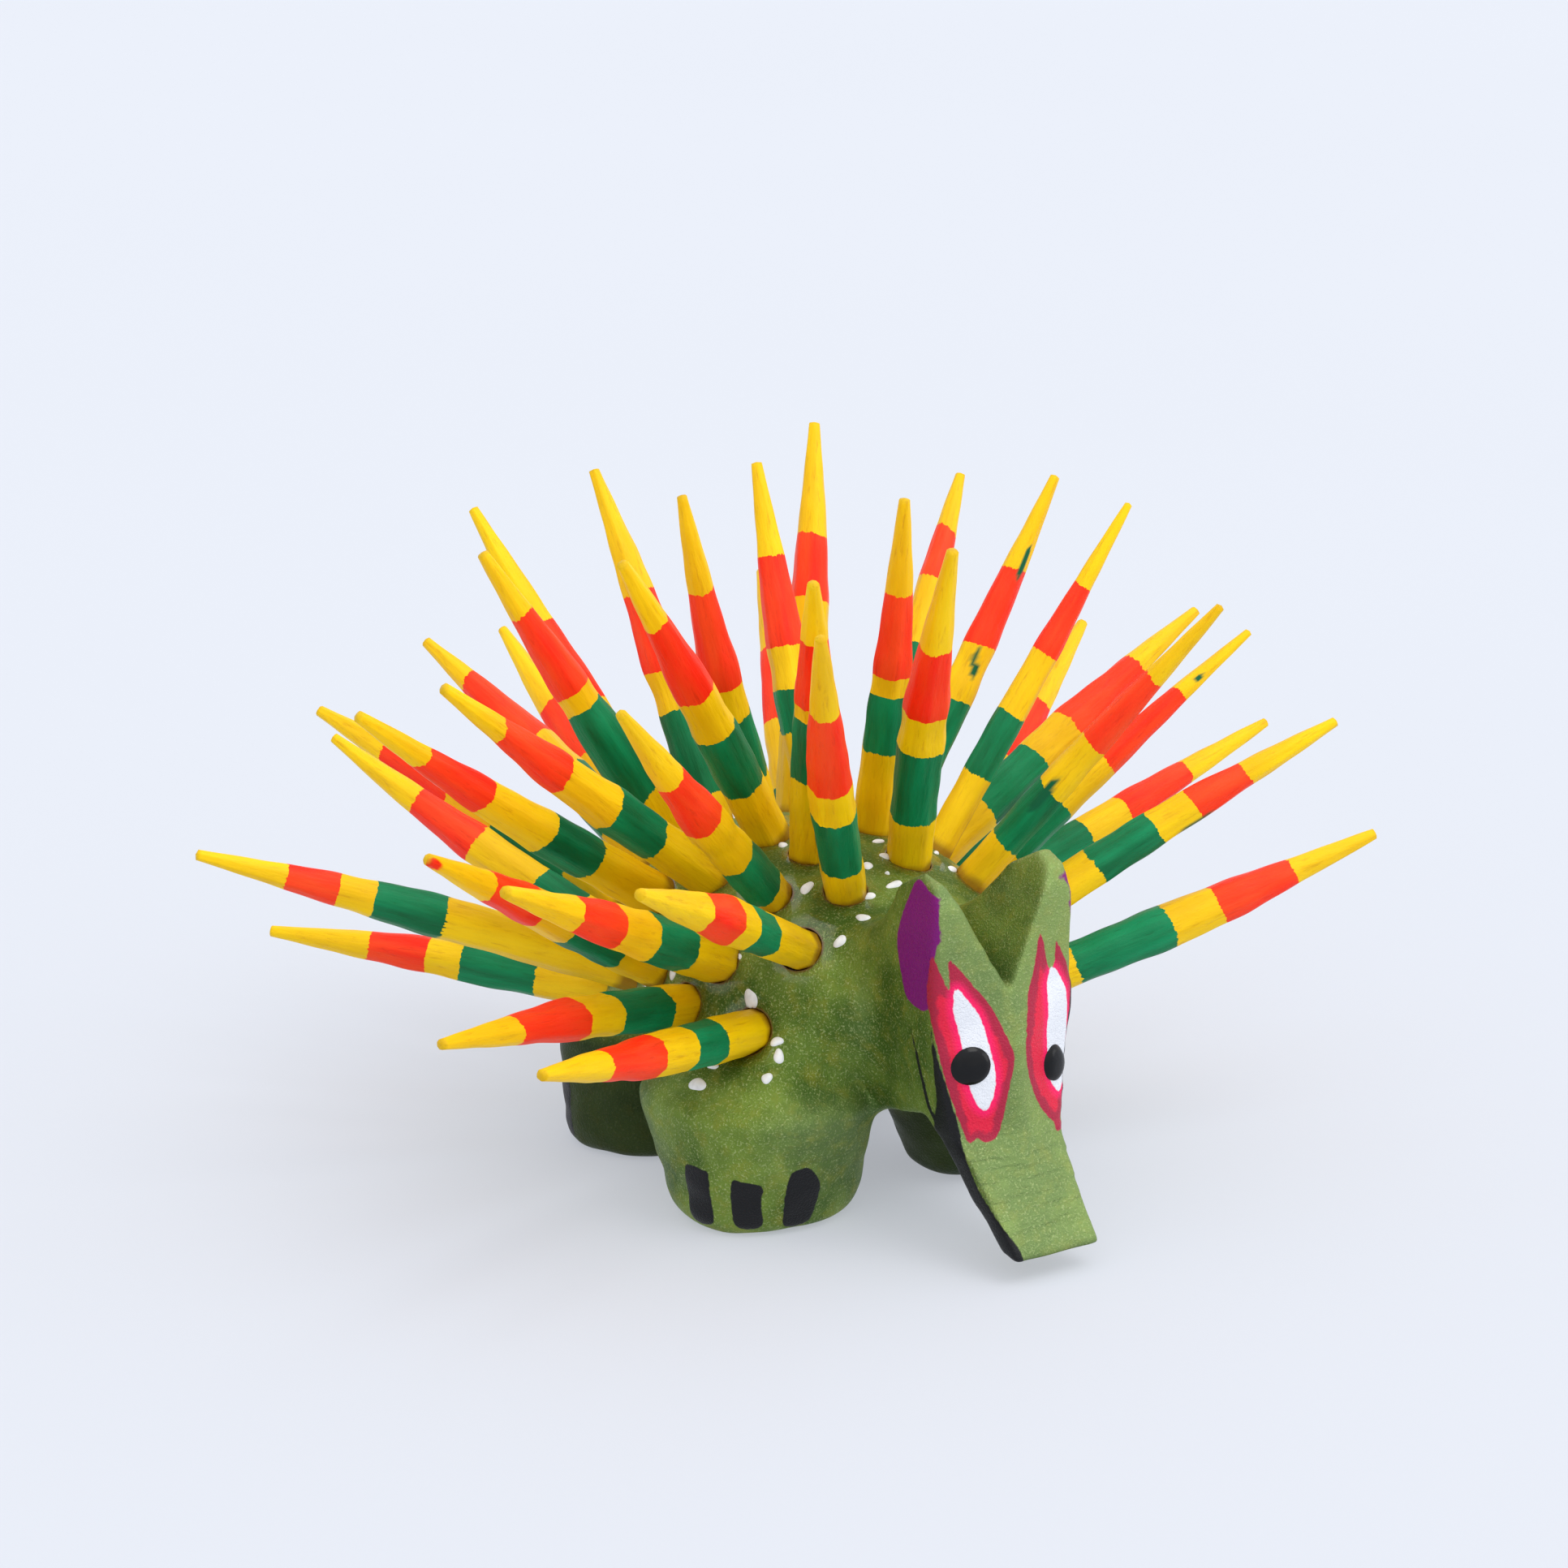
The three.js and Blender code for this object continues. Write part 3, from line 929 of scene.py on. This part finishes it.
TIP_SHARE = 0.24  # the blunt tip's radius, as a share of the quill's
TAPER_LENGTH = 13.5  # from the tip to the full radius
RING_STEP = 0.25
SIDES = 32
SUNK = 0.8  # how far the visible stick goes on below the wood's surface
BEND = 0.25  # how far the middle of a stick is off its straight line
ALONG_GRAIN = (1, 1, 0.12)  # the grain's pattern is drawn out along the stick


def whittled_section(angles, cuts):
    """Radius, as a share, of a stick with flat knife cuts, at each angle round it."""
    share = np.full(len(angles), 1.06)
    for direction, distance in cuts:
        slope = np.cos(angles - direction)
        flat = np.where(slope > 0.2, distance / np.maximum(slope, 0.2), 9.0)
        share = np.minimum(share, flat)
    return share


def quill_profile(from_tip, length):
    """Share of the full radius, by distance from the tip."""
    taper = 1 - (1 - np.clip(from_tip / TAPER_LENGTH, 0, 1)) ** 1.35
    waist = 1 - (1 - WAIST_SHARE) * smooth_step(from_tip, length - 5, length)
    return (TIP_SHARE + (1 - TIP_SHARE) * taper) * waist


def knife_section(chance, angles, share):
    """Share of the radius round the stick and along it.

    The knife's cuts change along the stick: three sets of flats are blended into each other.
    """
    sections = []
    for _ in range(3):
        count = chance.randint(7, 9)
        start = chance.uniform(0, 2 * math.pi)
        cuts = []
        for index in range(count):
            direction = start + (index + chance.uniform(-0.25, 0.25)) * 2 * math.pi / count
            cuts.append((direction, chance.uniform(0.93, 1.0)))
        sections.append(whittled_section(angles, cuts))
    past_first = smooth_step(share, 0.2, 0.45)
    past_second = smooth_step(share, 0.6, 0.8)
    return (
        sections[0] * (1 - past_first)
        + sections[1] * (past_first - past_second)
        + sections[2] * past_second
    )


def swelling(chance, phase, heights, from_tip, bands):
    """How the stick swells and thins along its length, fullest at the red band's lower end."""
    swell = 1 + 0.02 * np.sin(heights * 0.9 + phase[0]) + 0.015 * np.sin(heights * 2.3 + phase[1])
    notch = chance.uniform(0.01, 0.07)
    swell += notch * np.exp(-(((from_tip - bands[1] + 0.8) / 1.3) ** 2))
    swell -= notch * np.exp(-(((from_tip - (bands[1] + bands[2]) / 2) / 1.1) ** 2))
    return swell


def slip_cover(node, paint, turn, points, from_tip, turned, wander):
    """How far a slip of the brush with one paint covers each point of a quill."""
    front = turn.to_3x3().inverted() @ heading(SLIP_BEARING)
    around = turned - math.atan2(front.y, front.x)
    covered = np.zeros(len(points))
    for mark_paint, at, bearing, half_length, half_width in SLIPS.get(node, ()):
        if mark_paint == paint:
            away = (around - math.radians(bearing) + math.pi) % (2 * math.pi) - math.pi
            arc = away * QUILLS[node]["radius"]
            reach = np.hypot((from_tip - at) / half_length, arc / half_width)
            covered = np.maximum(covered, 1 - smooth_step(reach + 0.5 * wander, 0.85, 1.1))
    return covered


def whittle_quill(node, quill, bands, material):
    """One quill: a stick whittled to a blunt tip, with its painted bands stored on it."""
    chance = random.Random(node)
    length, radius = quill["length"], quill["radius"]
    angles = np.arange(SIDES) * 2 * math.pi / SIDES
    heights = np.concatenate([np.arange(-SUNK, length - 0.12, RING_STEP), [length - 0.1]])
    from_tip = length - heights
    share = np.clip(heights / length, 0, 1)
    profile = quill_profile(from_tip, length) * radius
    section = knife_section(chance, angles, share[:, None])
    phase = [chance.uniform(0, 2 * math.pi) for _ in range(3)]
    radii = (profile * swelling(chance, phase, heights, from_tip, bands))[:, None] * section
    bend = BEND * np.sin(share * math.pi)

    points = np.empty((len(heights), SIDES, 3))
    points[:, :, 0] = radii * np.cos(angles) + (bend * math.cos(phase[2]))[:, None]
    points[:, :, 1] = radii * np.sin(angles) + (bend * math.sin(phase[2]))[:, None]
    points[:, :, 2] = heights[:, None]
    points = points.reshape(-1, 3)
    shift = Vector([chance.uniform(0, 500) for _ in range(3)])
    fibre = np.array([noise.noise(Vector((p[0] * 2.6, p[1] * 2.6, p[2] * 0.6)) + shift) for p in points])
    bare = 1.5 - smooth_step(np.repeat(from_tip, SIDES), bands[0] - 1, bands[0])
    points[:, :2] *= 1 + 0.025 * (fibre * bare)[:, None]
    points = np.vstack([points, [0, 0, length]])

    # Band edges lean a little, and wander as the brush did.
    lean = chance.uniform(0.05, 0.3)
    lean_to = chance.uniform(0, 2 * math.pi)
    turned = np.arctan2(points[:, 1], points[:, 0])
    wander = np.array([noise.noise(Vector((p[0], p[1], p[2] * 0.6)) + shift) for p in points])
    from_tip = length - points[:, 2]
    painted_from_tip = from_tip + lean * np.cos(turned - lean_to) + 0.14 * wander
    band = np.interp(painted_from_tip, (-2, *bands, length + 3), range(6))
    stain = 1 - smooth_step(points[:, 2] + 0.25 * wander, 0.1, 0.7)
    cut_tip = smooth_step(points[:, 2], length - 0.2, length) * 0.35

    rings = len(heights)
    turn = turn_to(quill["axis"])
    mesh = new_mesh(node, points, tube_faces(rings, SIDES, None, rings * SIDES))
    for paint in ("green", "red"):
        cover = slip_cover(node, paint, turn, points, from_tip, turned, wander)
        set_values(mesh, f"{paint}_slip", cover)
    set_values(mesh, "band", band)
    set_values(mesh, "along_grain", points * ALONG_GRAIN + np.array(shift), "FLOAT_VECTOR")
    set_values(mesh, "stain", np.maximum(stain * 0.8, cut_tip))
    mesh.transform(Matrix.Translation(quill["root"] * MM) @ turn)
    piece = new_piece(f"{node}_whittled", mesh, material)
    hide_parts(node)


def whittle_quills(material):
    """Every quill, zone by zone."""
    for zone, rows in QUILL_BANDS.items():
        for number, bands in enumerate(rows, start=1):
            node = f"{zone}_quill_{number}"
            whittle_quill(node, QUILLS[node], bands, material)


# ---- Raised paint: pupils and white dots ----


PUPIL_THICKNESS = 0.28
DOT_THICKNESS = 0.14
SPARE_DOTS = 26  # dots where the figure's left side and rump are
DOT_TO_QUILL = 2.1  # least distance from a quill's middle
DOT_TO_DOT = 2.4


def dab_of_paint(surface, centre, facing, half_width, half_height, turn, thickness, uneven, chance):
    """Points and faces of one rounded dab, laid on the surface that a brush reaches."""
    rings, sides = 6, 28
    facing = facing.normalized()
    across = UP.cross(facing).normalized()
    up = facing.cross(across)
    side = across * math.cos(turn) + up * math.sin(turn)
    rise = up * math.cos(turn) - across * math.sin(turn)
    wobble = [chance.uniform(0, 2 * math.pi) for _ in range(3)]
    points = []
    for ring in range(rings + 1):
        share = 1 - ring / rings
        for step in range(sides):
            angle = step * 2 * math.pi / sides
            lobes = math.sin(2 * angle + wobble[0]) + 0.6 * math.sin(3 * angle + wobble[1])
            flat = side * (math.cos(angle) * half_width) + rise * (math.sin(angle) * half_height)
            start = centre + flat * (share * (1 + uneven * lobes)) + facing * 6
            spot, normal, _, distance = surface.ray_cast(start * MM, -facing)
            if spot is None or distance > 8 * MM:
                spot, normal = (centre + flat * share) * MM, facing
            height = thickness * math.sqrt(max(0.0, 1 - share**2.6)) - 0.03 * share
            points.append(spot / MM + normal * height)
    middle = sum(points[-sides:], Vector()) / sides
    points = points[:-sides] + [middle]
    return points, tube_faces(rings, sides, None, rings * sides)


def paint_pupils(surface, material):
    """The two glossy pupils, each a domed drop of black."""
    chance = random.Random(3)
    eyes = (("right", RIGHT_EYE_BEARING, RIGHT_PUPIL), ("left", LEFT_EYE_BEARING, LEFT_PUPIL))
    for side, bearing, pupil in eyes:
        aim = SNOUT_TIP + to_the_right(bearing) * pupil["across"] + UP * pupil["up"]
        facing = heading(bearing)
        spot = surface.ray_cast((aim + facing * 20) * MM, -facing)[0]
        points, faces = dab_of_paint(
            surface,
            spot / MM,
            facing,
            pupil["half_width"],
            pupil["half_height"],
            turn=0.0,
            thickness=PUPIL_THICKNESS,
            uneven=0.015,
            chance=chance,
        )
        new_piece(f"{side}_pupil", new_mesh(f"{side}_pupil", points, faces), material)


def spare_dots():
    """Dots for the left side and the rump, spread evenly between the quills' holes."""
    chance = random.Random(11)
    roots = [q["root"] for q in QUILLS.values()]
    placed = []
    for _ in range(4000):
        bearing = chance.uniform(60, 230)
        rise = chance.uniform(-20, 72)
        spot = TORSO_CENTRE + on_torso(bearing, rise)
        clear = all((spot - root).length > DOT_TO_QUILL for root in roots)
        apart = all((spot - other).length > DOT_TO_DOT for other, _ in placed)
        if clear and apart:
            size = chance.uniform(0.5, 0.95)
            height, turn = size * chance.uniform(0.6, 1.2), chance.uniform(-30, 30)
            placed.append((spot, (bearing, rise, size, height, turn)))
        if len(placed) == SPARE_DOTS:
            break
    return [dot for _, dot in placed]


def dot_white_paint(surface, material):
    """The white dots round the quills, as one coat's worth of raised dabs."""
    chance = random.Random(5)
    points, faces = [], []
    for bearing, rise, width, height, turn in WHITE_DOTS + spare_dots():
        outward = on_torso(bearing, rise)
        facing = outward.normalized()
        spot, slope, _, _ = surface.ray_cast((TORSO_CENTRE + outward + facing * 12) * MM, -facing)
        dab_points, dab_faces = dab_of_paint(
            surface,
            spot / MM,
            slope,
            width / 2,
            height / 2,
            turn=math.radians(turn),
            thickness=DOT_THICKNESS,
            uneven=0.12,
            chance=chance,
        )
        faces += [tuple(corner + len(points) for corner in face) for face in dab_faces]
        points += dab_points
    new_piece("white_dots", new_mesh("white_dots", points, faces), material)


# ---- Stage, light and camera ----

VIEW_BEARING = -33  # degrees round from the snout
VIEW_RISE = 16.5
VIEW_DISTANCE = 240
AIM_FROM_MIDDLE = Vector((1.7, 0.4, 0.4))
SENSOR = 36
LENS = 96.15
BRIGHT_SIDE = (25, 70)  # bearing and rise of the brightest part of the tent


def light_table():
    """Matt opal sheet lit faintly from below, so shadows on it stay pale."""
    material, tree, surface = new_material("light_table")
    place = add(tree, "ShaderNodeTexCoord").outputs["Object"]
    cloud = add(tree, "ShaderNodeTexNoise", {"Vector": place, "Scale": per_metre(120)}).outputs["Fac"]
    tone = add(
        tree, "ShaderNodeMix", {0: cloud, 6: colour("#989ba1"), 7: colour("#9a9da3")}, data_type="RGBA"
    ).outputs[2]
    shader = add(
        tree,
        "ShaderNodeBsdfPrincipled",
        {
            "Base Color": tone,
            "Roughness": 0.85,
            "Specular IOR Level": 0.1,
            "Emission Color": colour("#e9edf6"),
            "Emission Strength": 0.46,
        },
    ).outputs["BSDF"]
    tree.links.new(shader, surface)
    return material


def lay_floor():
    """A wide round sheet."""
    sides, reach = 96, 6000
    turns = [k * math.tau / sides for k in range(sides)]
    rim = [(reach * math.cos(turn), reach * math.sin(turn), 0) for turn in turns]
    floor = new_object("floor", new_mesh("floor", rim, [tuple(range(sides))]))
    floor.data.materials.append(light_table())


def hang_light(name, bearing, rise, strength, softness, code):
    """A soft light from far away."""
    light = bpy.data.lights.new(name, "SUN")
    light.energy = strength
    light.angle = math.radians(softness)
    light.color = colour(code)[:3]
    lamp = new_object(name, light)
    lamp.rotation_mode = "QUATERNION"
    lamp.rotation_quaternion = heading(bearing, rise).to_track_quat("Z", "Y")


def light_the_stage():
    """A white tent, brightest overhead, with soft lamps in front and to the animal's left."""
    world = bpy.data.worlds.new("tent")
    world.use_nodes = True
    tree = world.node_tree
    tree.nodes.clear()
    toward = add(tree, "ShaderNodeTexCoord").outputs["Generated"]
    facing = add(
        tree,
        "ShaderNodeVectorMath",
        {0: toward, 1: tuple(heading(*BRIGHT_SIDE))},
        operation="DOT_PRODUCT",
    ).outputs["Value"]
    level = add(
        tree, "ShaderNodeMapRange", {"Value": facing, "From Min": -0.8, "To Min": 0.35, "To Max": 1.5}
    ).outputs["Result"]
    cloth = add(tree, "ShaderNodeBackground", {"Color": colour("#f6f8fc"), "Strength": level}).outputs[0]
    backdrop = add(tree, "ShaderNodeBackground", {"Color": colour("#ebeff7"), "Strength": 1.0}).outputs[0]
    seen = add(tree, "ShaderNodeLightPath").outputs["Is Camera Ray"]
    choice = add(tree, "ShaderNodeMixShader", {0: seen, 1: cloth, 2: backdrop}).outputs[0]
    output = add(tree, "ShaderNodeOutputWorld")
    tree.links.new(choice, output.inputs["Surface"])
    bpy.context.scene.world = world
    hang_light("key", 25, 62, 0.8, 35, "#fffdf8")
    hang_light("side", 55, 14, 0.25, 30, "#ffffff")


def set_camera():
    """A long lens, low down, in front and to the animal's right."""
    lens = bpy.data.cameras.new("camera")
    lens.sensor_width = SENSOR
    lens.lens = LENS
    camera = new_object("camera", lens)
    low, high = cad_bounds
    aim = (low + high) / 2 + AIM_FROM_MIDDLE * MM
    back = heading(VIEW_BEARING, VIEW_RISE)
    camera.location = aim + back * VIEW_DISTANCE * MM
    camera.rotation_mode = "QUATERNION"
    camera.rotation_quaternion = back.to_track_quat("Z", "Y")
    lens.clip_start = 10 * MM
    bpy.context.scene.camera = camera


# ---- The figure ----

set_camera()
body = carve_body(metallic_olive_acrylic())
whittle_quills(banded_quill_acrylic())
body_surface = BVHTree.FromPolygons(
    [v.co for v in body.data.vertices], [p.vertices for p in body.data.polygons]
)
paint_pupils(body_surface, raised_acrylic("glossy_black_acrylic", "#06070a", 0.2, 0.5))
dot_white_paint(body_surface, raised_acrylic("white_acrylic", "#eef0f2", 0.4, 0.4))
lay_floor()
light_the_stage()
bpy.context.scene.view_settings.view_transform = "Standard"
